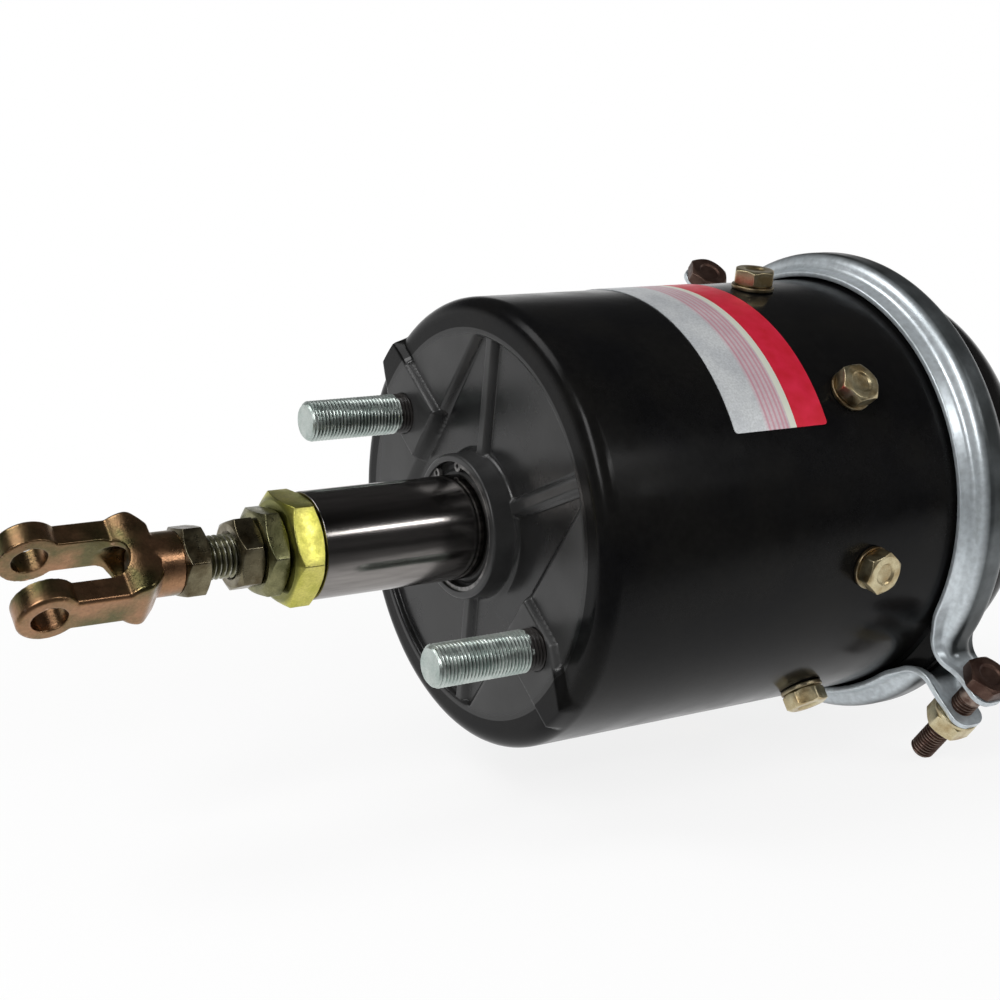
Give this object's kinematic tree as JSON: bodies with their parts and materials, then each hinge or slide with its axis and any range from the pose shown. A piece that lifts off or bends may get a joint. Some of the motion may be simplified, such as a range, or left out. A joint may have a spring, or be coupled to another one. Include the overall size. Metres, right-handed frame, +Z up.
{
  "type": "air brake chamber",
  "caption": "Air brake chamber: long drum with mounting studs, guided tubular push rod with a yoke, rolling diaphragm, and a domed rear cover held by a V clamp.",
  "frame": {"origin": "centre of the mounting face, on the push rod's axis", "axes": "+X along the push rod's axis towards the rear cover, +Z up"},
  "size_m": [0.42, 0.2181, 0.2045],
  "materials": {
    "drum_black": "gloss black enamel",
    "cover_black": "gloss black enamel",
    "stud_zinc": "clear zinc plating",
    "bush_bronze": "sintered bronze",
    "wiper_rubber": "matt black rubber",
    "circlip_steel": "phosphated spring steel",
    "ring_aluminium": "machined",
    "bolt_yellow_zinc": "yellow zinc plating",
    "washer_zinc": "zinc plating",
    "seat_steel": "pressed steel",
    "spring_steel": "oiled spring steel",
    "diaphragm_rubber": "fabric-reinforced rubber",
    "boss_black": "gloss black enamel",
    "plug_zinc": "yellow zinc plating",
    "washer_copper": "soft copper",
    "clamp_zinc": "bright zinc plating",
    "clamp_bolt_steel": "dark phosphated steel",
    "clamp_nut_zinc": "yellow zinc plating",
    "label_film": "blank silver and red foil",
    "tube_steel": "ground and polished steel",
    "plug_steel": "turned steel",
    "cap_yellow_zinc": "yellow zinc plating",
    "hex_yellow_zinc": "yellow zinc plating",
    "rod_zinc": "olive zinc plating",
    "nut_yellow_zinc": "olive yellow zinc plating",
    "piston_aluminium": "cast",
    "plate_steel": "pressed steel",
    "yoke_copper_zinc": "bronze-tinted zinc plating"
  },
  "bodies": {
    "chamber": {"drum_body": "drum_black", "mounting_studs": "stud_zinc", "rod_bush": "bush_bronze", "rod_wiper": "wiper_rubber", "wiper_circlip": "circlip_steel", "guide_ring": "ring_aluminium", "guide_ring_bolts": "bolt_yellow_zinc", "guide_ring_washers": "washer_zinc", "spring_seat": "seat_steel", "return_spring": "spring_steel", "diaphragm": "diaphragm_rubber", "rear_cover": "cover_black", "port_bosses": "boss_black", "port_plug": "plug_zinc", "plug_washer": "washer_copper", "clamp_half_upper": "clamp_zinc", "clamp_half_lower": "clamp_zinc", "clamp_bolts": "clamp_bolt_steel", "clamp_nuts": "clamp_nut_zinc", "clamp_washers": "clamp_nut_zinc", "rating_label": "label_film"},
    "push_rod": {"push_tube": "tube_steel", "tube_front_plug": "plug_steel", "tube_rear_plug": "plug_steel", "tube_cap": "cap_yellow_zinc", "cap_hex": "hex_yellow_zinc", "threaded_rod": "rod_zinc", "lock_nut": "nut_yellow_zinc", "jam_nut": "nut_yellow_zinc", "piston": "piston_aluminium", "piston_plate": "plate_steel", "piston_bolt": "plug_zinc"},
    "yoke": {"yoke": "yoke_copper_zinc"}
  },
  "joints": [
    {"name": "rod_stroke", "type": "slide", "parent": "chamber", "child": "push_rod", "axis": [-1, 0, 0], "range_m": [0, 0.0635], "stiffness_N_per_m": 2000, "springref_m": -0.05, "deforming": ["return_spring", "diaphragm"]},
    {"name": "yoke_turn", "type": "hinge", "parent": "push_rod", "child": "yoke", "pos_m": [-0.13, 0, 0], "axis": [-1, 0, 0], "range_deg": [-180, 180]}
  ]
}
